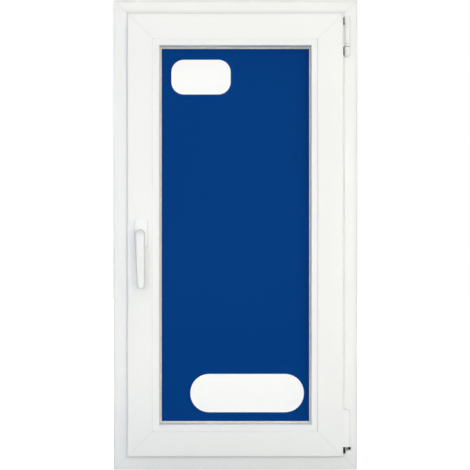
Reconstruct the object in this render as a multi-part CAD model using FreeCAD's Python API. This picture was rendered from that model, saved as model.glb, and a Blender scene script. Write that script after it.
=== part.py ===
import FreeCAD, Part
import math
import os

# Tilt and turn window, closed, with its fixed frame.
# X runs to the right as seen from the room, Y runs from the room to the outside, Z is up.
# The origin is the centre of the frame's bottom face. All sizes are in millimetres.

# Overall size of the frame
WINDOW_WIDTH = 602.0
WINDOW_HEIGHT = 1160.0
FRAME_DEPTH = 70.0

# Frame section. Widths are measured inwards from the outer edge of the frame.
FRAME_LEG = 46.0            # width of the frame on the room side
STOP_HEIGHT = 68.0          # width of the outer leg that the sash closes against
STOP_THICKNESS = 15.0
STOP_SLOPE = 5.0            # bevel of the outer leg's visible edge
CLIP_GROOVE_DEPTH = 3.5     # grooves round the outer edge, for wall anchors and cover strips
CLIP_GROOVE_WIDTH = 6.0
CLIP_GROOVE_SETBACK = 8.0   # from each face of the frame
EDGE_LINE_SETBACK = 1.8     # groove along the outer edge of the room face
EDGE_LINE_WIDTH = 1.8
EDGE_LINE_DEPTH = 2.6
TRIM_LINE_SETBACK = 9.5     # a second, finer groove
TRIM_LINE_WIDTH = 1.0
TRIM_LINE_DEPTH = 0.9
SHADOW_LINE_SETBACK = 31.4  # a third, deeper groove that follows the edge of the closed sash
SHADOW_LINE_WIDTH = 2.2
SHADOW_LINE_DEPTH = 2.0

# Sash section
SASH_OVERLAP = 9.0          # the sash laps over the frame by this much
SASH_PROUD = 18.0           # the sash face stands in front of the frame face by this much
SASH_FACE = 62.0            # visible width of the sash, up to the glazing bead
SEAL_GAP = 3.0              # room for the seals between sash and frame
HARDWARE_GAP = 12.0         # air gap round the sash body, where the locking bars run
SASH_EDGE_FLAT = 14.0       # straight part of the sash's outer edge
SASH_BEVEL_WIDTH = 14.5     # soft bevel along the sash's outer edge
SASH_BEVEL_KNEE = 6.0
SASH_BEVEL_DROP = 0.5
GLASS_RECESS = 4.0          # the floor under the glass lies lower than the foot of the bead
SASH_LIP = 14.0             # thickness of the fixed lip outside the glass
SASH_LIP_SLOPE = 5.0

# Glazing
BEAD_WIDTH = 16.0
BEAD_SET_IN = 0.6           # the bead lies a little behind the sash face
BEAD_NOSE = 1.2             # sloped part of the bead's visible edge
BEAD_NOSE_DROP = 2.0
GLASS_EDGE_CLEARANCE = 5.0
PANE_THICKNESS = 4.0
PANE_SPACING = 16.0
SPACER_WIDTH = 7.0
SPACER_INSET = 3.0
GASKET_THICKNESS = 3.0      # seal between the glass and its bead or lip
GASKET_LIP = 3.0            # the seal shows beyond the bead by this much
GASKET_LENGTH = 10.0

# Hollow chambers of the extruded profiles
WALL = 3.0
WEB = 2.0
FRAME_CHAMBERS = 3
SASH_CHAMBERS = 4
SASH_ARM_CHAMBER = 6.0

# Seals between sash and frame
SEAL_WIDTH = 5.0
SEAL_INSET = 2.0

# Roundings, and the shallow groove where the profiles are joined at each corner
EDGE_ROUND = 1.6
FINE_ROUND = 0.8
SEAM_DEPTH = 0.7
SEAM_HALF_WIDTH = 1.1

# Handle
HANDLE_BACKSET = 34.0       # from the sash's outer edge to the handle's axis
HANDLE_HEIGHT = 582.5
ROSETTE_WIDTH = 33.0
ROSETTE_HEIGHT = 74.0
ROSETTE_THICKNESS = 10.0
ROSETTE_CORNER = 9.0
ROSETTE_BEVEL = 1.5
NECK_RADIUS = 9.0
NECK_CLEARANCE = 0.05
NECK_SEAT = 8.0             # how deep the neck sits in the rosette
LEVER_STANDOFF = 35.0       # from the sash face to the back of the grip
LEVER_THICKNESS = 13.0
LEVER_HEAD_RADIUS = 12.2
LEVER_LENGTH = 132.0        # from the axis to the grip's end
LEVER_END_WIDTH = 19.0
LEVER_END_SHIFT = 2.5       # the grip's end lies a little to the right of the axis
LEVER_END_ROUND = 8.0
LEVER_FACE_ROUND = 6.0
LEVER_BACK_ROUND = 3.0
COLLAR_RADIUS = 10.5        # ring round the neck, on the rosette
COLLAR_HEIGHT = 1.5

# Hinges, on the right edge of the sash
HINGE_OFFSET = 11.3         # from the sash's outer edge to the hinge axis
BARREL_RADIUS = 6.5
BARREL_FACE_GAP = 3.0       # from the frame face to the back of the barrels
PAD_THICKNESS = 1.5         # dark pads between the hinge parts and the frame
PAD_UNDER_SASH = 1.0        # the pads reach under the edge of the sash
PAD_EDGE = 0.8              # the upper pad shows beyond the barrels
HINGE_PIN_RADIUS = 3.0
HINGE_FIT = 0.05
SLEEVE_ARM_THICKNESS = 5.0  # the arm that ties the sleeve to the sash
SLEEVE_ARM_DROP = 5.0       # the arm starts below the top of the sleeve
TOP_HINGE_DROP = 43.0       # from the top of the frame to the top knuckle
TOP_KNUCKLE_HEIGHT = 14.5
SLEEVE_HEIGHT = 58.5
SLEEVE_RING_HEIGHT = 6.0
SLEEVE_RING_ROUND = 0.9
SLEEVE_RING_GAP = 1.0
LOWER_KNUCKLE_HEIGHT = 22.0
LOWER_KNUCKLE_ROUND = 5.0
UPPER_KNUCKLE_GAP = 0.5
LOWER_KNUCKLE_GAP = 2.2
SLEEVE_STEP = 0.4
PIVOT_HEIGHT = 41.0         # underside of the lower pivot block
PIVOT_BLOCK_HEIGHT = 10.5
PIVOT_GAP = 8.5
PIVOT_PIN_RADIUS = 2.6
PIVOT_PIN_GRIP = 30.0       # how far the pin reaches up into the cover
PIVOT_PIN_SEAT = 7.0        # how far the pin reaches down into the block
PIVOT_BLOCK_LEFT = 4.0      # from the hinge axis to each side of the block
PIVOT_BLOCK_RIGHT = 9.0
PIVOT_BLOCK_ROUND = 2.0
PIVOT_PLATE_THICKNESS = 2.0
PIVOT_PLATE_CLEARANCE = 0.5
COVER_HEIGHT = 93.0
COVER_SLANT = 4.5
ADJUSTER_RADIUS = 3.6
ADJUSTER_OFFSET = 5.4       # from the hinge axis to the adjusting screw
ADJUSTER_LENGTH = 2.5

# Rain slots on the outside
DRAIN_CAP_WIDTH = 34.0
DRAIN_CAP_HEIGHT = 12.0
DRAIN_CAP_THICKNESS = 3.5
DRAIN_CAP_RISE = 18.0
DRAIN_CAP_SPREAD = 170.0    # from the middle to each cap
DRAIN_CAP_CORNER = 4.0
DRAIN_CAP_SKIN = 1.2
DRAIN_MOUTH_HEIGHT = 3.0

# Blank labels on the glass
LABEL_THICKNESS = 0.4
UPPER_LABEL_WIDTH = 147.0
UPPER_LABEL_HEIGHT = 86.0
UPPER_LABEL_CORNER = 31.0
UPPER_LABEL_LEFT = 24.2     # margins to the visible edges of the glass
UPPER_LABEL_TOP = 27.2
LOWER_LABEL_HEIGHT = 95.0
LOWER_LABEL_LEFT = 71.2
LOWER_LABEL_RIGHT = 13.2
LOWER_LABEL_BOTTOM = 22.2

# Where each layer lies, worked out from the sizes above
FRAME_ROOM = -FRAME_DEPTH / 2
FRAME_OUTSIDE = FRAME_DEPTH / 2
STOP_FACE = FRAME_OUTSIDE - STOP_THICKNESS
SASH_ROOM = FRAME_ROOM - SASH_PROUD
SASH_OUTSIDE = STOP_FACE - SEAL_GAP
SASH_EDGE = FRAME_LEG - SASH_OVERLAP
SASH_BODY = FRAME_LEG + HARDWARE_GAP
SASH_FLANGE_BACK = FRAME_ROOM - SEAL_GAP
BEAD_FOOT = SASH_EDGE + SASH_FACE
SIGHT_LINE = BEAD_FOOT + BEAD_WIDTH
GLASS_FLOOR = BEAD_FOOT - GLASS_RECESS
GLASS_EDGE = GLASS_FLOOR + GLASS_EDGE_CLEARANCE
GLASS_OUTSIDE = SASH_OUTSIDE - SASH_LIP - GASKET_THICKNESS
GLASS_ROOM = GLASS_OUTSIDE - 2 * PANE_THICKNESS - PANE_SPACING
BEAD_BACK = GLASS_ROOM - GASKET_THICKNESS
BEAD_ROOM = SASH_ROOM + BEAD_SET_IN
HANDLE_X = -WINDOW_WIDTH / 2 + SASH_EDGE + HANDLE_BACKSET
HINGE_X = WINDOW_WIDTH / 2 - SASH_EDGE + HINGE_OFFSET
SASH_SIDE_X = WINDOW_WIDTH / 2 - SASH_EDGE
VISIBLE_GLASS_INSET = SIGHT_LINE + GASKET_LIP
HINGE_Y = FRAME_ROOM - BARREL_FACE_GAP - BARREL_RADIUS
PAD_FACE = FRAME_ROOM - PAD_THICKNESS

# Quarter turns about Y that bring the bottom side's profile to each side
QUARTER_TURNS = {"bottom": 0, "left": 1, "top": 2, "right": 3}
RIGHT_ANGLE = 90.0
SAME_PLACE = 1e-6

X_AXIS = FreeCAD.Vector(1, 0, 0)
Y_AXIS = FreeCAD.Vector(0, 1, 0)
Z_AXIS = FreeCAD.Vector(0, 0, 1)


def rounded_face(corners, place):
    """A flat face from corners (first, second, radius); place maps the two numbers to a point."""
    points = [place(first, second) for first, second, radius in corners]
    starts = []
    edges = []
    for index, (first, second, radius) in enumerate(corners):
        corner = points[index]
        back = (points[index - 1] - corner).normalize()
        ahead = (points[(index + 1) % len(points)] - corner).normalize()
        if radius == 0:
            starts.append((corner, corner))
            continue
        half_angle = back.getAngle(ahead) / 2
        reach = radius / math.tan(half_angle)
        middle_way = (back + ahead).normalize()
        middle = corner + middle_way * (radius / math.sin(half_angle) - radius)
        arc_start = corner + back * reach
        arc_end = corner + ahead * reach
        edges.append(Part.Arc(arc_start, middle, arc_end).toShape())
        starts.append((arc_start, arc_end))
    for index, (arc_start, arc_end) in enumerate(starts):
        next_start = starts[(index + 1) % len(starts)][0]
        edges.append(Part.LineSegment(arc_end, next_start).toShape())
    return Part.Face(Part.Wire(Part.__sortEdges__(edges)))


def section_point(inwards, depth):
    """A point of a profile's section, which lies across X."""
    return FreeCAD.Vector(0, depth, inwards)


def front_point(across, up):
    """A point of an outline seen from the room."""
    return FreeCAD.Vector(across, 0, up)


def mitre_prism(half_run, pulled_in):
    """The space of one side between its two mitre planes, each pulled in by a distance."""
    mitre = SIGHT_LINE + GASKET_LENGTH
    reach = 2 * FRAME_DEPTH
    low = half_run - pulled_in
    high = low - mitre
    outline = Part.makePolygon([front_point(-low, 0), front_point(low, 0),
                                front_point(high, mitre), front_point(-high, mitre),
                                front_point(-low, 0)])
    prism = Part.Face(outline).extrude(Y_AXIS * (2 * reach))
    prism.translate(Y_AXIS * -reach)
    return prism


def along_side(corners, side, chambers=(), seamed=True):
    """A profile bar on one side of the window, mitred at both ends."""
    turns = QUARTER_TURNS[side]
    half_run, drop = WINDOW_WIDTH / 2, WINDOW_HEIGHT / 2
    if turns % 2 == 1:
        half_run, drop = drop, half_run
    section = rounded_face(corners, section_point)
    section.translate(X_AXIS * -half_run)
    run = X_AXIS * (2 * half_run)
    if seamed:
        core = section.makeOffset2D(-SEAM_DEPTH).extrude(run).common(mitre_prism(half_run, 0))
        shell = section.extrude(run).common(mitre_prism(half_run, SEAM_HALF_WIDTH))
        bar = shell.fuse(core)
    else:
        bar = section.extrude(run).common(mitre_prism(half_run, 0))
    for low_in, high_in, low_depth, high_depth in chambers:
        bar = bar.cut(Part.makeBox(2 * half_run, high_depth - low_depth, high_in - low_in,
                                   FreeCAD.Vector(-half_run, low_depth, low_in)))
    bar.translate(Z_AXIS * -drop)
    bar.rotate(FreeCAD.Vector(), Y_AXIS, turns * RIGHT_ANGLE)
    bar.translate(Z_AXIS * (WINDOW_HEIGHT / 2))
    return only_solid(bar)


def only_solid(shape):
    """The single solid of a shape."""
    return shape.Solids[0] if len(shape.Solids) == 1 else shape


def ring(corners):
    """A closed seal that runs round all four sides as one piece."""
    bars = [along_side(corners, side, seamed=False) for side in QUARTER_TURNS]
    return only_solid(bars[0].fuse(bars[1:]).removeSplitter())


def chamber_row(low_in, high_in, low_depth, high_depth, count):
    """Equal chambers side by side through the depth of a profile, with thin webs between."""
    width = (high_depth - low_depth - (count - 1) * WEB) / count
    return [(low_in, high_in, low_depth + step * (width + WEB),
             low_depth + step * (width + WEB) + width) for step in range(count)]


def groove(start, width, depth):
    """Corners of a square groove in the room face of the frame."""
    return [(start, FRAME_ROOM, 0), (start, FRAME_ROOM + depth, 0),
            (start + width, FRAME_ROOM + depth, 0), (start + width, FRAME_ROOM, 0)]


def frame_bar(side):
    """One length of the fixed frame: an L with clip grooves on its outer edge."""
    near = FRAME_ROOM + CLIP_GROOVE_SETBACK
    far = FRAME_OUTSIDE - CLIP_GROOVE_SETBACK
    corners = [
        (0, FRAME_ROOM, FINE_ROUND),
        *groove(EDGE_LINE_SETBACK, EDGE_LINE_WIDTH, EDGE_LINE_DEPTH),
        *groove(TRIM_LINE_SETBACK, TRIM_LINE_WIDTH, TRIM_LINE_DEPTH),
        *groove(SHADOW_LINE_SETBACK, SHADOW_LINE_WIDTH, SHADOW_LINE_DEPTH),
        (FRAME_LEG, FRAME_ROOM, EDGE_ROUND),
        (FRAME_LEG, STOP_FACE, 0),
        (STOP_HEIGHT, STOP_FACE, FINE_ROUND),
        (STOP_HEIGHT, FRAME_OUTSIDE - STOP_SLOPE, EDGE_ROUND),
        (STOP_HEIGHT - STOP_SLOPE, FRAME_OUTSIDE, EDGE_ROUND),
        (0, FRAME_OUTSIDE, EDGE_ROUND),
        (0, far, 0),
        (CLIP_GROOVE_DEPTH, far, 0),
        (CLIP_GROOVE_DEPTH, far - CLIP_GROOVE_WIDTH, 0),
        (0, far - CLIP_GROOVE_WIDTH, 0),
        (0, near + CLIP_GROOVE_WIDTH, 0),
        (CLIP_GROOVE_DEPTH, near + CLIP_GROOVE_WIDTH, 0),
        (CLIP_GROOVE_DEPTH, near, 0),
        (0, near, 0),
    ]
    lowest = CLIP_GROOVE_DEPTH + WALL
    chambers = chamber_row(lowest, FRAME_LEG - WALL, FRAME_ROOM + WALL,
                           STOP_FACE + WALL - WEB, FRAME_CHAMBERS)
    chambers.append((lowest, STOP_HEIGHT - STOP_SLOPE - WALL, STOP_FACE + WALL,
                     FRAME_OUTSIDE - WALL))
    return along_side(corners, side, chambers)


def sash_bar(side):
    """One length of the opening sash: an arm over the frame, a body and a lip for the glass."""
    corners = [
        (SASH_EDGE, SASH_FLANGE_BACK, FINE_ROUND),
        (SASH_EDGE, SASH_FLANGE_BACK - SASH_EDGE_FLAT, EDGE_ROUND),
        (SASH_EDGE + SASH_BEVEL_KNEE, SASH_ROOM + SASH_BEVEL_DROP, 2 * EDGE_ROUND),
        (SASH_EDGE + SASH_BEVEL_WIDTH, SASH_ROOM, 2 * EDGE_ROUND),
        (BEAD_FOOT, SASH_ROOM, EDGE_ROUND),
        (BEAD_FOOT, BEAD_BACK, 0),
        (GLASS_FLOOR, BEAD_BACK, 0),
        (GLASS_FLOOR, SASH_OUTSIDE - SASH_LIP, 0),
        (SIGHT_LINE, SASH_OUTSIDE - SASH_LIP, FINE_ROUND),
        (SIGHT_LINE, SASH_OUTSIDE - SASH_LIP_SLOPE, EDGE_ROUND),
        (SIGHT_LINE - SASH_LIP_SLOPE, SASH_OUTSIDE, EDGE_ROUND),
        (SASH_BODY, SASH_OUTSIDE, FINE_ROUND),
        (SASH_BODY, SASH_FLANGE_BACK, 0),
    ]
    chambers = chamber_row(SASH_BODY + WALL, GLASS_FLOOR - WALL, SASH_ROOM + WALL,
                           SASH_OUTSIDE - WALL, SASH_CHAMBERS)
    arm_depth = SASH_FLANGE_BACK - WALL
    chambers.append((SASH_EDGE + SASH_BEVEL_KNEE, SASH_BODY + WALL - WEB,
                     arm_depth - SASH_ARM_CHAMBER, arm_depth))
    return along_side(corners, side, chambers)


def bead_bar(side):
    """One glazing bead, standing on the sash and holding the glass from the room side."""
    return along_side([
        (BEAD_FOOT, BEAD_ROOM, FINE_ROUND),
        (SIGHT_LINE - BEAD_NOSE, BEAD_ROOM, FINE_ROUND),
        (SIGHT_LINE, BEAD_ROOM + BEAD_NOSE_DROP, FINE_ROUND),
        (SIGHT_LINE, BEAD_BACK, FINE_ROUND),
        (BEAD_FOOT, BEAD_BACK, 0),
    ], side)


def glazing_seal(bead_side, glass_side):
    """The seal between the glass and what holds it, with a lip that shows beyond its edge."""
    return ring([
        (SIGHT_LINE - GASKET_LENGTH + GASKET_LIP, bead_side, 0),
        (SIGHT_LINE, bead_side, 0),
        (SIGHT_LINE + GASKET_LIP, glass_side, 0),
        (SIGHT_LINE - GASKET_LENGTH + GASKET_LIP, glass_side, 0),
    ])


def closing_seal(low_in, room_side, outside):
    """A flat seal that fills the gap between the sash and the frame."""
    return ring([
        (low_in, room_side, 0),
        (low_in + SEAL_WIDTH, room_side, 0),
        (low_in + SEAL_WIDTH, outside, 0),
        (low_in, outside, 0),
    ])


def sheet(inset, room_face, thickness):
    """A flat rectangle that ends at the given inset from the window's outer edges."""
    return Part.makeBox(WINDOW_WIDTH - 2 * inset, thickness, WINDOW_HEIGHT - 2 * inset,
                        FreeCAD.Vector(inset - WINDOW_WIDTH / 2, room_face, inset))


def spacer():
    """The bar round the edge that keeps the two panes apart."""
    room_face = GLASS_ROOM + PANE_THICKNESS
    inset = GLASS_EDGE + SPACER_INSET
    return sheet(inset, room_face, PANE_SPACING).cut(
        sheet(inset + SPACER_WIDTH, room_face, PANE_SPACING))


def plate(left, right, low, high, corner, room_face, thickness):
    """A flat plate with rounded corners, facing the room."""
    corners = [(left, low, corner), (right, low, corner),
               (right, high, corner), (left, high, corner)]
    body = rounded_face(corners, front_point).extrude(Y_AXIS * thickness)
    body.translate(Y_AXIS * room_face)
    return body


def rod(radius, start, length, axis):
    """A round bar from a start point along an axis."""
    return Part.makeCylinder(radius, length, start, axis)


def edges_at(shape, depth):
    """The edges of a shape that lie in the plane at the given depth."""
    return [edge for edge in shape.Edges
            if abs(edge.BoundBox.YMin - depth) < SAME_PLACE
            and abs(edge.BoundBox.YMax - depth) < SAME_PLACE]


def edges_at_height(shape, height):
    """The edges of a shape that lie in the level plane at the given height."""
    return [edge for edge in shape.Edges
            if abs(edge.BoundBox.ZMin - height) < SAME_PLACE
            and abs(edge.BoundBox.ZMax - height) < SAME_PLACE]


def handle_rosette():
    """The plate that carries the lever, with a bore for its neck."""
    front = SASH_ROOM - ROSETTE_THICKNESS
    body = plate(HANDLE_X - ROSETTE_WIDTH / 2, HANDLE_X + ROSETTE_WIDTH / 2,
                 HANDLE_HEIGHT - ROSETTE_HEIGHT / 2, HANDLE_HEIGHT + ROSETTE_HEIGHT / 2,
                 ROSETTE_CORNER, front, ROSETTE_THICKNESS)
    body = body.makeChamfer(ROSETTE_BEVEL, edges_at(body, front))
    bore = rod(NECK_RADIUS + NECK_CLEARANCE, FreeCAD.Vector(HANDLE_X, front, HANDLE_HEIGHT),
               ROSETTE_THICKNESS, Y_AXIS)
    return only_solid(body.cut(bore))


def grip_shoulder(head, end_x):
    """Where the round head passes into the straight side that runs to an end corner."""
    reach = abs(end_x - head.x)
    taper = math.asin((LEVER_HEAD_RADIUS - reach) / LEVER_LENGTH)
    across = math.copysign(math.cos(taper), end_x - head.x)
    return head + FreeCAD.Vector(across, 0, -math.sin(taper)) * LEVER_HEAD_RADIUS


def handle_lever():
    """The lever: a tapering grip with a round head, on a round neck."""
    back = SASH_ROOM - LEVER_STANDOFF
    front = back - LEVER_THICKNESS
    head = FreeCAD.Vector(HANDLE_X, front, HANDLE_HEIGHT)
    end = HANDLE_HEIGHT - LEVER_LENGTH
    end_x = HANDLE_X + LEVER_END_SHIFT
    low_right = FreeCAD.Vector(end_x + LEVER_END_WIDTH / 2, front, end)
    low_left = FreeCAD.Vector(end_x - LEVER_END_WIDTH / 2, front, end)
    right = grip_shoulder(head, low_right.x)
    left = grip_shoulder(head, low_left.x)
    top = head + Z_AXIS * LEVER_HEAD_RADIUS
    outline = Part.Wire([
        Part.Arc(left, top, right).toShape(),
        Part.LineSegment(right, low_right).toShape(),
        Part.LineSegment(low_right, low_left).toShape(),
        Part.LineSegment(low_left, left).toShape(),
    ])
    grip = Part.Face(outline).extrude(Y_AXIS * LEVER_THICKNESS)
    end_corners = [edge for edge in edges_at_height(grip, end)
                   if edge.BoundBox.YLength > LEVER_THICKNESS / 2]
    grip = grip.makeFillet(LEVER_END_ROUND, end_corners)
    grip = grip.makeFillet(LEVER_FACE_ROUND, edges_at(grip, front))
    grip = grip.makeFillet(LEVER_BACK_ROUND, edges_at(grip, back))
    neck_start = SASH_ROOM - ROSETTE_THICKNESS + NECK_SEAT
    neck = rod(NECK_RADIUS, FreeCAD.Vector(HANDLE_X, back, HANDLE_HEIGHT),
               neck_start - back, Y_AXIS)
    neck = neck.fuse(rod(NECK_RADIUS, FreeCAD.Vector(HANDLE_X, back, HANDLE_HEIGHT),
                         LEVER_THICKNESS / 2, -Y_AXIS))
    return only_solid(grip.fuse(neck).removeSplitter())


def handle_collar():
    """A thin ring on the rosette, round the neck."""
    front = SASH_ROOM - ROSETTE_THICKNESS - COLLAR_HEIGHT
    outer = rod(COLLAR_RADIUS + NECK_CLEARANCE, FreeCAD.Vector(HANDLE_X, front, HANDLE_HEIGHT),
                COLLAR_HEIGHT, Y_AXIS)
    inner = rod(NECK_RADIUS + NECK_CLEARANCE, FreeCAD.Vector(HANDLE_X, front, HANDLE_HEIGHT),
                COLLAR_HEIGHT, Y_AXIS)
    return outer.cut(inner)


def on_hinge(height):
    """The point of the hinge axis at a height."""
    return FreeCAD.Vector(HINGE_X, HINGE_Y, height)


def barrel(low, height, radius=BARREL_RADIUS):
    """A solid round barrel on the hinge axis."""
    return rod(radius, on_hinge(low), height, Z_AXIS)


def foot(low, height):
    """The block that ties a barrel to the pad behind it."""
    return Part.makeBox(2 * BARREL_RADIUS, PAD_FACE - HINGE_Y, height,
                        FreeCAD.Vector(HINGE_X - BARREL_RADIUS, HINGE_Y, low))


def hinge_pad(low, height, right):
    """A flat pad on the frame under a hinge part, from under the sash to the given X."""
    left = SASH_SIDE_X - PAD_UNDER_SASH
    pad = Part.makeBox(right - left, PAD_THICKNESS, height, FreeCAD.Vector(left, PAD_FACE, low))
    return pad.makeFillet(FINE_ROUND, edges_at(pad, PAD_FACE))


def sash_arm(low, height, thickness):
    """The arm that ties a barrel to the edge of the sash, shaped to the sash's bevel."""
    start = SASH_SIDE_X - SASH_BEVEL_KNEE
    arm = Part.makeBox(HINGE_X - start, thickness, height,
                       FreeCAD.Vector(start, SASH_FLANGE_BACK - thickness, low))
    return arm.cut(sash_bar("right"))


def top_hinge_levels():
    """Heights of the upper knuckle, the sleeve and the lower knuckle."""
    upper = WINDOW_HEIGHT - TOP_HINGE_DROP - TOP_KNUCKLE_HEIGHT
    sleeve = upper - UPPER_KNUCKLE_GAP - SLEEVE_HEIGHT
    lower = sleeve - LOWER_KNUCKLE_GAP - LOWER_KNUCKLE_HEIGHT
    return upper, sleeve, lower


def top_hinge_pieces():
    """The upper hinge: two knuckles on the frame, a sleeve on the sash and the pin."""
    upper, sleeve, lower = top_hinge_levels()
    pin_hole = HINGE_PIN_RADIUS + HINGE_FIT
    pin_low = lower + LOWER_KNUCKLE_HEIGHT / 2
    pin_high = upper + TOP_KNUCKLE_HEIGHT / 2
    bore = barrel(pin_low, pin_high - pin_low, pin_hole)
    pin = barrel(pin_low, pin_high - pin_low, HINGE_PIN_RADIUS)
    upper_knuckle = barrel(upper, TOP_KNUCKLE_HEIGHT).fuse(foot(upper, TOP_KNUCKLE_HEIGHT))
    lower_barrel = barrel(lower, LOWER_KNUCKLE_HEIGHT)
    lower_barrel = lower_barrel.makeFillet(LOWER_KNUCKLE_ROUND,
                                           edges_at_height(lower_barrel, lower))
    foot_low = lower + LOWER_KNUCKLE_ROUND
    lower_knuckle = lower_barrel.fuse(foot(foot_low, LOWER_KNUCKLE_HEIGHT - LOWER_KNUCKLE_ROUND))
    ring_top = sleeve + SLEEVE_RING_HEIGHT
    main_low = ring_top + SLEEVE_RING_GAP
    main = barrel(main_low, upper - UPPER_KNUCKLE_GAP - main_low, BARREL_RADIUS - SLEEVE_STEP)
    main = main.fuse(sash_arm(sleeve, SLEEVE_HEIGHT - SLEEVE_ARM_DROP, SLEEVE_ARM_THICKNESS))
    main = main.cut(barrel(sleeve, main_low - sleeve))
    ring_body = barrel(sleeve, SLEEVE_RING_HEIGHT)
    ring_body = ring_body.makeFillet(SLEEVE_RING_ROUND, edges_at_height(ring_body, sleeve)
                                     + edges_at_height(ring_body, ring_top))
    return {
        "top_hinge_upper_knuckle": only_solid(upper_knuckle.removeSplitter().cut(bore)),
        "top_hinge_lower_knuckle": only_solid(lower_knuckle.removeSplitter().cut(bore)),
        "top_hinge_sleeve": only_solid(main.removeSplitter().cut(bore)),
        "top_hinge_ring": only_solid(ring_body.cut(bore)),
        "top_hinge_pin": pin,
        "top_hinge_pad": hinge_pad(foot_low, upper + TOP_KNUCKLE_HEIGHT - foot_low,
                                   HINGE_X + BARREL_RADIUS + PAD_EDGE),
    }


def bottom_hinge_pieces():
    """The lower hinge: a pivot block on the frame, its pin and the cover on the sash."""
    block_top = PIVOT_HEIGHT + PIVOT_BLOCK_HEIGHT
    cover_low = block_top + PIVOT_GAP
    left = HINGE_X - PIVOT_BLOCK_LEFT
    right = HINGE_X + PIVOT_BLOCK_RIGHT
    front = HINGE_Y - BARREL_RADIUS
    block = plate(left, right, PIVOT_HEIGHT, block_top, PIVOT_BLOCK_ROUND, front,
                  PAD_FACE - front)
    plate_top = cover_low - PIVOT_PLATE_CLEARANCE
    back_plate = plate(left, right, PIVOT_HEIGHT, plate_top, PIVOT_BLOCK_ROUND,
                       PAD_FACE - PIVOT_PLATE_THICKNESS, PIVOT_PLATE_THICKNESS)
    pin_low = block_top - PIVOT_PIN_SEAT
    pin_length = PIVOT_PIN_SEAT + PIVOT_GAP + PIVOT_PIN_GRIP
    pin = barrel(pin_low, pin_length, PIVOT_PIN_RADIUS)
    bore = barrel(pin_low, pin_length, PIVOT_PIN_RADIUS + HINGE_FIT)
    cover = barrel(cover_low, COVER_HEIGHT).fuse(
        sash_arm(cover_low, COVER_HEIGHT, 2 * BARREL_RADIUS))
    cover_top = cover_low + COVER_HEIGHT
    outer_side = HINGE_X + BARREL_RADIUS
    slant = Part.makePolygon([
        front_point(SASH_SIDE_X, cover_top),
        front_point(outer_side, cover_top - COVER_SLANT),
        front_point(outer_side, cover_top),
        front_point(SASH_SIDE_X, cover_top),
    ])
    wedge = Part.Face(slant).extrude(-Y_AXIS * (2 * FRAME_DEPTH))
    adjuster_head = PAD_FACE - PIVOT_PLATE_THICKNESS - ADJUSTER_LENGTH
    adjuster = rod(ADJUSTER_RADIUS, FreeCAD.Vector(HINGE_X + ADJUSTER_OFFSET, adjuster_head,
                                                   block_top + ADJUSTER_RADIUS),
                   ADJUSTER_LENGTH, Y_AXIS)
    return {
        "bottom_hinge_pivot_block": only_solid(block.fuse(back_plate).removeSplitter().cut(bore)),
        "bottom_hinge_pin": pin,
        "bottom_hinge_cover": only_solid(cover.removeSplitter().cut(wedge).cut(bore)),
        "bottom_hinge_adjuster": adjuster,
        "bottom_hinge_pad": hinge_pad(PIVOT_HEIGHT, plate_top - PIVOT_HEIGHT, HINGE_X),
    }


def drain_cap(centre_x):
    """A small hood over a rain slot on the outside of the frame."""
    left = centre_x - DRAIN_CAP_WIDTH / 2
    low = DRAIN_CAP_RISE - DRAIN_CAP_HEIGHT / 2
    body = plate(left, left + DRAIN_CAP_WIDTH, low, low + DRAIN_CAP_HEIGHT, DRAIN_CAP_CORNER,
                 FRAME_OUTSIDE, DRAIN_CAP_THICKNESS)
    mouth = Part.makeBox(DRAIN_CAP_WIDTH - 2 * DRAIN_CAP_CORNER,
                         DRAIN_CAP_THICKNESS - DRAIN_CAP_SKIN, DRAIN_MOUTH_HEIGHT,
                         FreeCAD.Vector(left + DRAIN_CAP_CORNER, FRAME_OUTSIDE, low))
    return only_solid(body.cut(mouth))


def upper_label():
    """A blank sticker near the upper left corner of the glass."""
    left = VISIBLE_GLASS_INSET - WINDOW_WIDTH / 2 + UPPER_LABEL_LEFT
    high = WINDOW_HEIGHT - VISIBLE_GLASS_INSET - UPPER_LABEL_TOP
    return plate(left, left + UPPER_LABEL_WIDTH, high - UPPER_LABEL_HEIGHT, high,
                 UPPER_LABEL_CORNER, GLASS_ROOM - LABEL_THICKNESS, LABEL_THICKNESS)


def lower_label():
    """A blank sticker with round ends, near the lower right corner of the glass."""
    left = VISIBLE_GLASS_INSET - WINDOW_WIDTH / 2 + LOWER_LABEL_LEFT
    right = WINDOW_WIDTH / 2 - VISIBLE_GLASS_INSET - LOWER_LABEL_RIGHT
    low = VISIBLE_GLASS_INSET + LOWER_LABEL_BOTTOM
    return plate(left, right, low, low + LOWER_LABEL_HEIGHT, LOWER_LABEL_HEIGHT / 2 - FINE_ROUND,
                 GLASS_ROOM - LABEL_THICKNESS, LABEL_THICKNESS)


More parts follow.
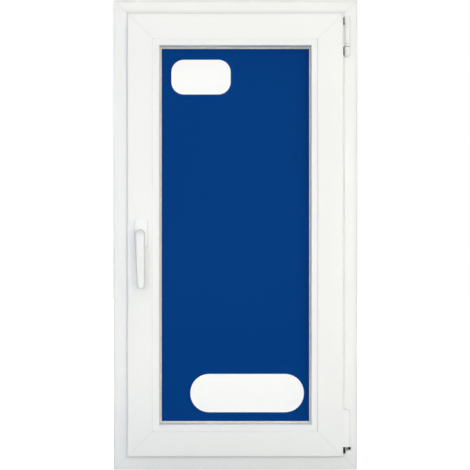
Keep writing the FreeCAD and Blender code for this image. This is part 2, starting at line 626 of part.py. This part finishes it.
def pieces():
    """Every piece of the window by name."""
    found = {
        "frame_sill": frame_bar("bottom"),
        "frame_head": frame_bar("top"),
        "frame_lock_jamb": frame_bar("left"),
        "frame_hinge_jamb": frame_bar("right"),
        "sash_bottom_rail": sash_bar("bottom"),
        "sash_top_rail": sash_bar("top"),
        "sash_lock_stile": sash_bar("left"),
        "sash_hinge_stile": sash_bar("right"),
        "bead_bottom": bead_bar("bottom"),
        "bead_top": bead_bar("top"),
        "bead_left": bead_bar("left"),
        "bead_right": bead_bar("right"),
        "glass_pane_room": sheet(GLASS_EDGE, GLASS_ROOM, PANE_THICKNESS),
        "glass_pane_outside": sheet(GLASS_EDGE, GLASS_OUTSIDE - PANE_THICKNESS, PANE_THICKNESS),
        "glass_spacer": spacer(),
        "glass_seal_room": glazing_seal(BEAD_BACK, GLASS_ROOM),
        "glass_seal_outside": glazing_seal(SASH_OUTSIDE - SASH_LIP, GLASS_OUTSIDE),
        "overlap_seal": closing_seal(SASH_EDGE + SEAL_INSET, SASH_FLANGE_BACK, FRAME_ROOM),
        "stop_seal": closing_seal(STOP_HEIGHT - SEAL_INSET - SEAL_WIDTH, SASH_OUTSIDE, STOP_FACE),
        "handle_rosette": handle_rosette(),
        "handle_collar": handle_collar(),
        "handle_lever": handle_lever(),
        "drain_cap_left": drain_cap(-DRAIN_CAP_SPREAD),
        "drain_cap_right": drain_cap(DRAIN_CAP_SPREAD),
        "glass_label_upper": upper_label(),
        "glass_label_lower": lower_label(),
    }
    found.update(top_hinge_pieces())
    found.update(bottom_hinge_pieces())
    return found


os.makedirs("parts", exist_ok=True)
for name, shape in pieces().items():
    shape.exportStep("parts/" + name + ".step")
    print(name, "solids", len(shape.Solids), "valid", shape.isValid(), "volume", round(shape.Volume))
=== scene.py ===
import bpy
import math
from collections import namedtuple
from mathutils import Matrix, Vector


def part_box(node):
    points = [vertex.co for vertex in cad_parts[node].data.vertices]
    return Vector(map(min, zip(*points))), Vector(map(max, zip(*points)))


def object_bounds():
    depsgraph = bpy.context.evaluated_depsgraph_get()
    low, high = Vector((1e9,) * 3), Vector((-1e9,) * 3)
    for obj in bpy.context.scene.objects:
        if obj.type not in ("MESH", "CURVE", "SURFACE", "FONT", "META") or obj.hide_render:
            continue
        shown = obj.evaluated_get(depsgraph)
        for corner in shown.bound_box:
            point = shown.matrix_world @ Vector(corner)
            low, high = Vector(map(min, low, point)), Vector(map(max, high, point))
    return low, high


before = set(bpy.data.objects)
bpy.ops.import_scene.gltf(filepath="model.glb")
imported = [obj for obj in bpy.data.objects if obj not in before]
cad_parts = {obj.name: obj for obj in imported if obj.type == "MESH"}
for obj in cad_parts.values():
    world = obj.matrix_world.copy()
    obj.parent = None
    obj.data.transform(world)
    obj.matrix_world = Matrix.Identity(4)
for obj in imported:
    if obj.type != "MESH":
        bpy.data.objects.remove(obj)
cad_low, cad_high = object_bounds()

# A white plastic tilt and turn window in a plain white studio. Sizes are in metres.

# How a finish is described: a colour that varies between two shares of its tone, a roughness that
# varies between two values, and a relief of some height. A scale is that of a noise on the surface
Mottle = namedtuple("Mottle", "scale dark light")
Gloss = namedtuple("Gloss", "scale smooth rough")
Relief = namedtuple("Relief", "scale height strength")

# How the studio is described: lamps with energies in watts, and dark cards that stand or lie
Lamp = namedtuple("Lamp", "place size energy tint")
Card = namedtuple("Card", "place tilt turn width height")

QUARTER_TURN = math.pi / 2
WHITE = (1.0, 1.0, 1.0)
window_centre = (0.0, 0.0, (cad_low[2] + cad_high[2]) / 2)

# Camera, with the window's upper and lower edge in the image
IMAGE_SIDE = 470
WINDOW_TOP_PIXEL = 0.3
WINDOW_BOTTOM_PIXEL = 470.0
CAMERA_DISTANCE = 2.2
CAMERA_SIDEWAYS = -0.001
SENSOR_WIDTH = 36.0

# Colours, as linear values
PLASTIC_LIGHT = (0.905, 0.905, 0.900)
PLASTIC_DARK = (0.885, 0.886, 0.884)
ROSETTE_COAT = (0.94, 0.94, 0.945)
LEVER_COAT = (0.90, 0.90, 0.895)
HINGE_COAT = (0.93, 0.93, 0.925)
SEAL_COLOUR = (0.88, 0.85, 0.75)
GLASS_BLUE = (0.0016, 0.0455, 0.222)
LABEL_WHITE = (0.99, 0.99, 0.99)
STEEL = (0.32, 0.32, 0.33)
BLACK_OXIDE = (0.012, 0.012, 0.013)
SPACER_METAL = (0.55, 0.56, 0.58)
PAD_BLACK = (0.035, 0.035, 0.036)
# The grey pad is partly painted shade: it shows as the dark gaps and the line beside the top
# hinge's barrels
PAD_AND_SHADOW_GREY = (0.27, 0.27, 0.26)

# How colours vary over a surface, and the noise values at which they are darkest and lightest
PLASTIC_PATCH_SCALE = 5.0
COAT_MOTTLE = Mottle(scale=40.0, dark=0.985, light=1.0)
SEAL_MOTTLE = Mottle(scale=90.0, dark=0.93, light=1.05)
PAD_MOTTLE = Mottle(scale=150.0, dark=0.8, light=1.2)
GLASS_MOTTLE = Mottle(scale=4.0, dark=0.985, light=1.015)
METAL_MOTTLE = Mottle(scale=200.0, dark=0.85, light=1.1)
PAPER_MOTTLE = Mottle(scale=300.0, dark=0.985, light=1.0)
NOISE_DARK = 0.35
NOISE_LIGHT = 0.65

# How rough surfaces are
PLASTIC_GLOSS = Gloss(scale=60.0, smooth=0.38, rough=0.50)
COAT_GLOSS = Gloss(scale=120.0, smooth=0.26, rough=0.36)
SPACER_GLOSS = Gloss(scale=300.0, smooth=0.32, rough=0.50)
PIN_GLOSS = Gloss(scale=300.0, smooth=0.28, rough=0.4375)
ADJUSTER_GLOSS = Gloss(scale=300.0, smooth=0.40, rough=0.625)
SEAL_ROUGHNESS = 0.75
PAD_ROUGHNESS = 0.8
GLASS_ROUGHNESS = 0.05
PAPER_ROUGHNESS = 0.55

# Refractive indices, higher for a coat that reflects more, and the specular level of the glass
LEVER_INDEX = 2.0
HINGE_INDEX = 1.75
PLASTIC_INDEX = 1.5
GLASS_INDEX = 1.5
GLASS_SPECULAR = 0.35

# Fine relief, and how much finer it is along X, Y and Z
PLASTIC_LINES = Relief(scale=1.0, height=0.00006, strength=0.5)
PLASTIC_GRAIN = Relief(scale=1800.0, height=0.00002, strength=0.4)
COAT_PEEL = Relief(scale=700.0, height=0.00003, strength=0.5)
SEAL_GRAIN = Relief(scale=900.0, height=0.00005, strength=0.6)
PAD_GRAIN = Relief(scale=1200.0, height=0.00003, strength=0.5)
GLASS_WAVES = Relief(scale=3.0, height=0.00002, strength=0.3)
METAL_MARKS = Relief(scale=60.0, height=0.00002, strength=0.4)
PAPER_GRAIN = Relief(scale=1500.0, height=0.00002, strength=0.5)
LINES_LEVEL = (1, 320, 320)
LINES_UPRIGHT = (320, 320, 1)
MARKS_ROUND = (1, 1, 30)
EVEN = (1, 1, 1)

# Weld lines at the corners of the frame and the sash
WELD_HALF_WIDTH = 0.0008
WELD_FADE = 0.0018
WELD_TONE = 0.955

# Painted shade on the frame's head, just above the closed sash
SASH_SHADE_NEAR = 0.006
SASH_SHADE_FAR = 0.015
SASH_SHADE_TONE = 0.86

# Painted shade in the joint between the right bead and the sash, as distances from the joint
JOINT_FAR = 0.0028
JOINT_NEAR = 0.0006
JOINT_SHADE_TONE = 0.75

# Painted shade along the left edge of the lever, as depths behind its face and places from its
# axis
EDGE_STARTS = 0.0002
EDGE_DARKEST = 0.0032
EDGE_CLEARS = 0.0055
EDGE_ENDS = 0.0085
EDGE_RIGHT = 0.003
EDGE_LEFT = -0.004

# Painted shade on the head of the lever, as heights from its axis, and the tone of the lever's
# painted shade
HEAD_UNSHADED = -0.008
HEAD_SHADED = 0.011
LEVER_SHADE_TONE = 0.77

# Painted shade on faces that look up, by the upward part of their direction
TOP_UNSHADED = 0.15
TOP_SHADED = 0.75
TOP_SHADE_TONE = 0.80

# Painted shade on the sides of the top hinge's barrels, as depths behind the front of the barrels
FOOT_STARTS = 0.0005
FOOT_SHADED = 0.0045
FOOT_SHADE_TONE = 0.87

# Sky and floor. What is seen directly is white at a strength of 1
SKY_STRENGTH = 1.1
SKY_TINT = (0.92, 0.94, 1.0)
SEEN_STRENGTH = 1.0
FLOOR_SIZE = 12.0
FLOOR_TINT = (0.53, 0.56, 0.58)
FLOOR_ROUGHNESS = 0.9
FLOOR_GLOW = 0.82

# Lamps
SIDE_LIGHT = Lamp(place=(2.6, -2.6, 0.9), size=1.4, energy=13.0, tint=(1.0, 0.94, 0.42))
FRONT_LIGHT = Lamp(place=(-0.25, -3.2, 1.2), size=2.2, energy=43.5, tint=(0.925, 0.972, 1.0))
BACK_LIGHT_LEFT = Lamp(place=(-2.4, 2.2, 1.1), size=1.4, energy=22.0, tint=WHITE)
BACK_LIGHT_RIGHT = Lamp(place=(2.4, 2.2, 1.1), size=1.4, energy=22.0, tint=WHITE)
BEAM_LIGHT = Lamp(place=(1.15, -3.0, 0.90), size=1.4, energy=1.4, tint=(1.0, 0.84, 0.67))
BEAM_TARGET = (0.0, 0.0, 0.90)
BEAM_HEIGHT = 1.7
BEAM_SPREAD = math.radians(10)

# Dark cards in front of the window, at its left and above it
FRONT_CARD = Card(place=(0.0, -3.4, window_centre[2]), tilt=QUARTER_TURN, turn=0.0,
                  width=1.7, height=6.0)
LEFT_CARD = Card(place=(-1.2, -0.6, window_centre[2]), tilt=QUARTER_TURN, turn=QUARTER_TURN,
                 width=2.6, height=6.0)
TOP_CARD = Card(place=(0.0, -1.5, 2.2), tilt=0.0, turn=0.0, width=5.0, height=3.4)
CARD_COLOUR = (0.01, 0.01, 0.012)
CARD_ROUGHNESS = 1.0

# Pieces that share a finish
LEVEL_BARS = ("frame_sill", "sash_bottom_rail", "sash_top_rail")
UPRIGHT_BARS = ("frame_lock_jamb", "frame_hinge_jamb", "sash_lock_stile", "sash_hinge_stile")
LEVEL_BEADS = ("bead_bottom", "bead_top")
SEALS = ("glass_seal_room", "glass_seal_outside", "overlap_seal", "stop_seal")
PANES = ("glass_pane_room", "glass_pane_outside")
ROSETTE_PIECES = ("handle_rosette", "handle_collar")
TOP_HINGE = ("top_hinge_upper_knuckle", "top_hinge_sleeve", "top_hinge_ring",
             "top_hinge_lower_knuckle")
BOTTOM_HINGE = ("bottom_hinge_cover", "bottom_hinge_pivot_block")
HINGE_PINS = ("top_hinge_pin", "bottom_hinge_pin")
DRAIN_CAPS = ("drain_cap_left", "drain_cap_right")
LABELS = ("glass_label_upper", "glass_label_lower")


class Tree:
    """The nodes and links of a material or of the world, and sums made with them."""

    # Which sockets of a mix node serve for colours
    MIX_FACTOR = 0
    MIX_FIRST = 6
    MIX_SECOND = 7
    MIX_RESULT = 2

    def __init__(self, owner):
        owner.use_nodes = True
        self.nodes = owner.node_tree.nodes
        self.links = owner.node_tree.links

    def feed(self, socket, value):
        """Gives a socket a number, a colour or the output of another node."""
        if isinstance(value, bpy.types.NodeSocket):
            self.links.new(value, socket)
        else:
            socket.default_value = value

    def coordinates(self, kind):
        """The coordinates of each point: Object, Generated, or Normal for the way it faces."""
        return self.nodes.new("ShaderNodeTexCoord").outputs[kind]

    def share(self, vector, axis):
        """The part of a vector that lies along one axis."""
        split = self.nodes.new("ShaderNodeSeparateXYZ")
        self.feed(split.inputs["Vector"], vector)
        return split.outputs[axis]

    def calculate(self, operation, first, second=None):
        """The result of a sum on one or two values."""
        node = self.nodes.new("ShaderNodeMath")
        node.operation = operation
        self.feed(node.inputs[0], first)
        if second is not None:
            self.feed(node.inputs[1], second)
        return node.outputs["Value"]

    def between(self, value, low, high):
        """A value that goes from low to high while the given one goes from 0 to 1."""
        spread = self.nodes.new("ShaderNodeMapRange")
        self.feed(spread.inputs["Value"], value)
        self.feed(spread.inputs["To Min"], low)
        self.feed(spread.inputs["To Max"], high)
        return spread.outputs["Result"]

    def fade(self, value, zero, one):
        """A mask that goes smoothly from 0 to 1 while a value goes from zero to one."""
        spread = self.nodes.new("ShaderNodeMapRange")
        spread.interpolation_type = "SMOOTHSTEP"
        self.feed(spread.inputs["Value"], value)
        self.feed(spread.inputs["From Min"], zero)
        self.feed(spread.inputs["From Max"], one)
        return spread.outputs["Result"]

    def mix(self, blend, factor, first, second):
        """Two colours, blended as far as a factor says."""
        node = self.nodes.new("ShaderNodeMix")
        node.data_type = "RGBA"
        node.blend_type = blend
        self.feed(node.inputs[self.MIX_FACTOR], factor)
        self.feed(node.inputs[self.MIX_FIRST], first)
        self.feed(node.inputs[self.MIX_SECOND], second)
        return node.outputs[self.MIX_RESULT]

    def seen_directly(self):
        """A value of 1 for camera, glossy and transmission rays, and 0 for the rest."""
        rays = self.nodes.new("ShaderNodeLightPath").outputs
        seen = self.calculate("MAXIMUM", rays["Is Camera Ray"], rays["Is Glossy Ray"])
        return self.calculate("MAXIMUM", seen, rays["Is Transmission Ray"])


class Surface(Tree):
    """A material under construction, with its main shader."""

    def __init__(self, name):
        self.material = bpy.data.materials.new(name)
        super().__init__(self.material)
        self.shader = self.nodes["Principled BSDF"]
        self.normal = None

    def give(self, socket, value):
        """Gives a socket of the shader a number, a colour or the output of another node."""
        self.feed(self.shader.inputs[socket], value)

    def along(self, axis):
        """How far along an axis each point of the surface lies."""
        return self.share(self.coordinates("Object"), axis)

    def facing(self, axis):
        """How much each point of the surface faces along an axis."""
        return self.share(self.coordinates("Normal"), axis)

    def noise(self, scale, finer=EVEN):
        """A noise value from the surface's place, made finer along each axis by a factor."""
        mapping = self.nodes.new("ShaderNodeMapping")
        self.feed(mapping.inputs["Vector"], self.coordinates("Object"))
        self.feed(mapping.inputs["Scale"], finer)
        noise = self.nodes.new("ShaderNodeTexNoise")
        self.feed(noise.inputs["Vector"], mapping.outputs["Vector"])
        self.feed(noise.inputs["Scale"], scale)
        return noise.outputs["Fac"]

    def colour(self, scale, dark, light):
        """Colours the surface between two tones by a noise."""
        ramp = self.nodes.new("ShaderNodeValToRGB")
        first, last = ramp.color_ramp.elements
        first.position = NOISE_DARK
        first.color = (*dark, 1)
        last.position = NOISE_LIGHT
        last.color = (*light, 1)
        self.feed(ramp.inputs["Fac"], self.noise(scale))
        self.give("Base Color", ramp.outputs["Color"])

    def mottle(self, tone, mottle):
        """Colours the surface with a tone that varies a little."""
        self.colour(mottle.scale, shade(tone, mottle.dark), shade(tone, mottle.light))

    def stain_and_shade(self, marks):
        """Darkens the colour under each mark, which is a mask's function and a factor: a weld line
        or painted shade.
        """
        base = self.shader.inputs["Base Color"]
        for mask, tone in marks:
            plain = base.links[0].from_socket
            darkened = self.mix("MULTIPLY", mask(self), plain, (tone, tone, tone, 1))
            self.give("Base Color", darkened)

    def roughen(self, gloss):
        """Varies the roughness by a noise."""
        self.give("Roughness", self.between(self.noise(gloss.scale), gloss.smooth, gloss.rough))

    def bump(self, relief, finer=EVEN):
        """Adds relief on top of any relief already there."""
        bump = self.nodes.new("ShaderNodeBump")
        self.feed(bump.inputs["Height"], self.noise(relief.scale, finer))
        self.feed(bump.inputs["Distance"], relief.height)
        self.feed(bump.inputs["Strength"], relief.strength)
        if self.normal:
            self.feed(bump.inputs["Normal"], self.normal)
        self.normal = bump.outputs["Normal"]
        self.give("Normal", self.normal)


def shade(tone, factor):
    """A tone made darker or lighter by a factor."""
    return tuple(channel * factor for channel in tone)


def weld_lines(surface):
    """A mask of the diagonal lines where the bars meet, from the distance to the outer edges."""
    half_width = (cad_high[0] - cad_low[0]) / 2
    half_height = (cad_high[2] - cad_low[2]) / 2
    across = surface.calculate("ABSOLUTE", surface.along("X"))
    from_middle = surface.calculate("SUBTRACT", surface.along("Z"), window_centre[2])
    up = surface.calculate("ABSOLUTE", from_middle)
    from_side = surface.calculate("SUBTRACT", half_width, across)
    from_end = surface.calculate("SUBTRACT", half_height, up)
    difference = surface.calculate("SUBTRACT", from_side, from_end)
    apart = surface.calculate("ABSOLUTE", difference)
    from_line = surface.calculate("DIVIDE", apart, math.sqrt(2))
    return surface.fade(from_line, WELD_HALF_WIDTH + WELD_FADE, WELD_HALF_WIDTH)


def shade_above_sash(surface):
    """A mask of painted shade that is 1 up to just above the sash's upper edge, and then fades
    out.
    """
    sash_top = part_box("sash_top_rail")[1][2]
    return surface.fade(surface.along("Z"), sash_top + SASH_SHADE_FAR, sash_top + SASH_SHADE_NEAR)


def shaded_joint(surface):
    """A mask of painted shade along the right bead's outer edge, where it meets the sash."""
    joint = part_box("bead_right")[1][0]
    return surface.fade(surface.along("X"), joint - JOINT_FAR, joint - JOINT_NEAR)


def shaded_lever(surface):
    """A mask of painted shade on the lever's rounded left edge and on its head."""
    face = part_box("handle_lever")[0][1]
    low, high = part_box("handle_rosette")
    axis_x = (low[0] + high[0]) / 2
    axis_z = (low[2] + high[2]) / 2
    depth = surface.along("Y")
    starts = surface.fade(depth, face + EDGE_STARTS, face + EDGE_DARKEST)
    lasts = surface.fade(depth, face + EDGE_ENDS, face + EDGE_CLEARS)
    rounded = surface.calculate("MULTIPLY", starts, lasts)
    left = surface.fade(surface.along("X"), axis_x + EDGE_RIGHT, axis_x + EDGE_LEFT)
    edge = surface.calculate("MULTIPLY", rounded, left)
    head = surface.fade(surface.along("Z"), axis_z + HEAD_UNSHADED, axis_z + HEAD_SHADED)
    return surface.calculate("MAXIMUM", edge, head)


def shaded_top(surface):
    """A mask of painted shade on the faces that look up."""
    return surface.fade(surface.facing("Z"), TOP_UNSHADED, TOP_SHADED)


def shaded_foot(surface):
    """A mask of painted shade on the sides of the top hinge's barrels, where they meet the frame.
    """
    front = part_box("top_hinge_lower_knuckle")[0][1]
    return surface.fade(surface.along("Y"), front + FOOT_STARTS, front + FOOT_SHADED)


def extruded_plastic(name, lines, *marks):
    """Matt white window plastic with faint lines along the way it was extruded."""
    surface = Surface(name)
    surface.colour(PLASTIC_PATCH_SCALE, PLASTIC_DARK, PLASTIC_LIGHT)
    surface.stain_and_shade(marks)
    surface.roughen(PLASTIC_GLOSS)
    surface.bump(PLASTIC_LINES, lines)
    surface.bump(PLASTIC_GRAIN)
    return surface.material


def smooth_coat(name, tone, index, *marks):
    """Smooth white coat or moulded skin with a slight orange peel."""
    surface = Surface(name)
    surface.give("IOR", index)
    surface.mottle(tone, COAT_MOTTLE)
    surface.stain_and_shade(marks)
    surface.roughen(COAT_GLOSS)
    surface.bump(COAT_PEEL)
    return surface.material


def seal_rubber():
    """Soft beige-grey sealing strip with a dull surface."""
    surface = Surface("seal_rubber")
    surface.give("Roughness", SEAL_ROUGHNESS)
    surface.mottle(SEAL_COLOUR, SEAL_MOTTLE)
    surface.bump(SEAL_GRAIN)
    return surface.material


def pad_rubber(name, tone):
    """Dark pad under the hinge parts, dull and faintly grained; the grey one is partly painted
    shade, showing as the dark gaps and the line beside the top hinge's barrels.
    """
    surface = Surface(name)
    surface.give("Roughness", PAD_ROUGHNESS)
    surface.mottle(tone, PAD_MOTTLE)
    surface.bump(PAD_GRAIN)
    return surface.material


def blue_glass():
    """Float glass with a deep blue film: flat, glossy and only a little uneven."""
    surface = Surface("blue_glass")
    surface.give("Roughness", GLASS_ROUGHNESS)
    surface.give("IOR", GLASS_INDEX)
    surface.give("Specular IOR Level", GLASS_SPECULAR)
    surface.mottle(GLASS_BLUE, GLASS_MOTTLE)
    surface.bump(GLASS_WAVES)
    return surface.material


def plain_metal(name, tone, gloss):
    """Turned or drawn metal with fine marks."""
    surface = Surface(name)
    surface.give("Metallic", 1.0)
    surface.mottle(tone, METAL_MOTTLE)
    surface.roughen(gloss)
    surface.bump(METAL_MARKS, MARKS_ROUND)
    return surface.material


def label_paper():
    """Blank white sticker with a fine paper grain."""
    surface = Surface("label_paper")
    surface.give("Roughness", PAPER_ROUGHNESS)
    surface.mottle(LABEL_WHITE, PAPER_MOTTLE)
    surface.bump(PAPER_GRAIN)
    return surface.material


def dress(names, material):
    """Gives CAD nodes a material in place of the plain one they came with."""
    for name in names:
        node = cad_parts[name]
        node.data.materials.clear()
        node.data.materials.append(material)


def dress_plastic():
    """Gives the bars of the frame and the sash, and the beads, their white plastic, with painted
    shade above the sash and along the right bead's joint.
    """
    welds = (weld_lines, WELD_TONE)
    head_shade = (shade_above_sash, SASH_SHADE_TONE)
    joint_shade = (shaded_joint, JOINT_SHADE_TONE)
    dress(LEVEL_BARS, extruded_plastic("plastic_level", LINES_LEVEL, welds))
    # The frame's head gets painted shade just above the sash
    dress(("frame_head",), extruded_plastic("head_plastic_painted_shade", LINES_LEVEL, welds, head_shade))
    dress(UPRIGHT_BARS, extruded_plastic("plastic_upright", LINES_UPRIGHT, welds))
    dress(LEVEL_BEADS, extruded_plastic("bead_level", LINES_LEVEL))
    dress(("bead_left",), extruded_plastic("bead_upright", LINES_UPRIGHT))
    # The right bead gets painted shade along its joint with the sash
    dress(("bead_right",), extruded_plastic("bead_shaded_joint", LINES_UPRIGHT, joint_shade))
    dress(DRAIN_CAPS, smooth_coat("cap_plastic", PLASTIC_LIGHT, PLASTIC_INDEX))


def dress_glazing():
    """Gives the panes, their spacer, the seals and the labels their finishes."""
    dress(PANES, blue_glass())
    dress(("glass_spacer",), plain_metal("spacer_metal", SPACER_METAL, SPACER_GLOSS))
    dress(SEALS, seal_rubber())
    dress(LABELS, label_paper())


def dress_hardware():
    """Gives the handle and both hinges their finishes, with painted shade on the lever, on the top
    hinge's barrels and on the bottom hinge's upward faces.
    """
    lever_shade = (shaded_lever, LEVER_SHADE_TONE)
    foot_shade = (shaded_foot, FOOT_SHADE_TONE)
    top_shade = (shaded_top, TOP_SHADE_TONE)
    dress(ROSETTE_PIECES, smooth_coat("rosette_coat", ROSETTE_COAT, PLASTIC_INDEX))
    # The lever gets painted shade on its left edge and its head
    dress(("handle_lever",), smooth_coat("lever_coat", LEVER_COAT, LEVER_INDEX, lever_shade))
    # The top hinge gets painted shade on the sides of its barrels
    dress(TOP_HINGE, smooth_coat("top_hinge_coat", HINGE_COAT, HINGE_INDEX, foot_shade))
    # The bottom hinge gets painted shade on its upward faces
    dress(BOTTOM_HINGE, smooth_coat("bottom_hinge_coat", HINGE_COAT, HINGE_INDEX, top_shade))
    # The grey pad is partly a real pad and partly painted shade beside the top hinge's barrels
    dress(("top_hinge_pad",), pad_rubber("pad_grey", PAD_AND_SHADOW_GREY))
    dress(("bottom_hinge_pad",), pad_rubber("pad_black", PAD_BLACK))
    dress(HINGE_PINS, plain_metal("pin_steel", STEEL, PIN_GLOSS))
    adjuster = plain_metal("adjuster_black", BLACK_OXIDE, ADJUSTER_GLOSS)
    dress(("bottom_hinge_adjuster",), adjuster)


def white_world():
    """A white background, with a cool sky light that grows from the horizon to overhead."""
    world = bpy.data.worlds.new("studio")
    bpy.context.scene.world = world
    tree = Tree(world)
    background = tree.nodes["Background"]
    height = tree.share(tree.coordinates("Generated"), "Z")
    sky = tree.between(height, 0.0, SKY_STRENGTH)
    seen = tree.seen_directly()
    tree.feed(background.inputs["Strength"], tree.between(seen, sky, SEEN_STRENGTH))
    tree.feed(background.inputs["Color"], tree.mix("MIX", seen, (*SKY_TINT, 1), (*WHITE, 1)))


def floor():
    """A pale floor that keeps a faint shadow."""
    bpy.ops.mesh.primitive_plane_add(size=FLOOR_SIZE, location=(0, 0, cad_low[2]))
    plane = bpy.context.object
    plane.name = "floor"
    plane.visible_glossy = False
    surface = Surface("floor_white")
    surface.give("Base Color", (*FLOOR_TINT, 1))
    surface.give("Roughness", FLOOR_ROUGHNESS)
    surface.give("Specular IOR Level", 0.0)
    surface.give("Emission Color", (*WHITE, 1))
    glow = surface.calculate("MULTIPLY", surface.seen_directly(), FLOOR_GLOW)
    surface.give("Emission Strength", glow)
    plane.data.materials.append(surface.material)


def area_light(name, lamp, target):
    """A soft light aimed at a target, which reflections don't show."""
    light = bpy.data.lights.new(name, "AREA")
    light.size = lamp.size
    light.energy = lamp.energy
    light.color = lamp.tint
    holder = bpy.data.objects.new(name, light)
    bpy.context.collection.objects.link(holder)
    aim = Vector(target) - Vector(lamp.place)
    holder.location = lamp.place
    holder.rotation_euler = aim.to_track_quat("-Z", "Y").to_euler()
    holder.visible_glossy = False
    return light


def lights():
    """A front light, a warm side light and beam from the right, and two lights from behind."""
    area_light("side_light", SIDE_LIGHT, window_centre)
    area_light("front_light", FRONT_LIGHT, window_centre)
    beam = area_light("beam_light", BEAM_LIGHT, BEAM_TARGET)
    beam.shape = "RECTANGLE"
    beam.size_y = BEAM_HEIGHT
    beam.spread = BEAM_SPREAD
    area_light("back_light_left", BACK_LIGHT_LEFT, window_centre)
    area_light("back_light_right", BACK_LIGHT_RIGHT, window_centre)


def dark_card(name, card):
    """A dark card that only reflections see, so that glass and edges stay deep."""
    bpy.ops.mesh.primitive_plane_add(size=1, location=card.place,
                                     rotation=(card.tilt, 0, card.turn))
    plane = bpy.context.object
    plane.name = name
    plane.scale = (card.width, card.height, 1)
    plane.visible_camera = False
    plane.visible_diffuse = False
    plane.visible_shadow = False
    surface = Surface(name + "_black")
    surface.give("Base Color", (*CARD_COLOUR, 1))
    surface.give("Roughness", CARD_ROUGHNESS)
    surface.give("Specular IOR Level", 0.0)
    plane.data.materials.append(surface.material)


def camera():
    """Looks straight at the room side, with the frame as high in the image as in the photo."""
    frame_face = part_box("frame_sill")[0][1]
    window_pixels = WINDOW_BOTTOM_PIXEL - WINDOW_TOP_PIXEL
    view_height = (cad_high[2] - cad_low[2]) * IMAGE_SIDE / window_pixels
    data = bpy.data.cameras.new("camera")
    data.sensor_width = SENSOR_WIDTH
    data.lens = SENSOR_WIDTH * CAMERA_DISTANCE / view_height
    holder = bpy.data.objects.new("camera", data)
    bpy.context.collection.objects.link(holder)
    holder.location = (CAMERA_SIDEWAYS, frame_face - CAMERA_DISTANCE, window_centre[2])
    holder.rotation_euler = (QUARTER_TURN, 0, 0)
    bpy.context.scene.camera = holder


bpy.context.scene.view_settings.view_transform = "Standard"
camera()
white_world()
floor()
lights()
dark_card("front_card", FRONT_CARD)
dark_card("left_card", LEFT_CARD)
dark_card("top_card", TOP_CARD)
dress_plastic()
dress_glazing()
dress_hardware()
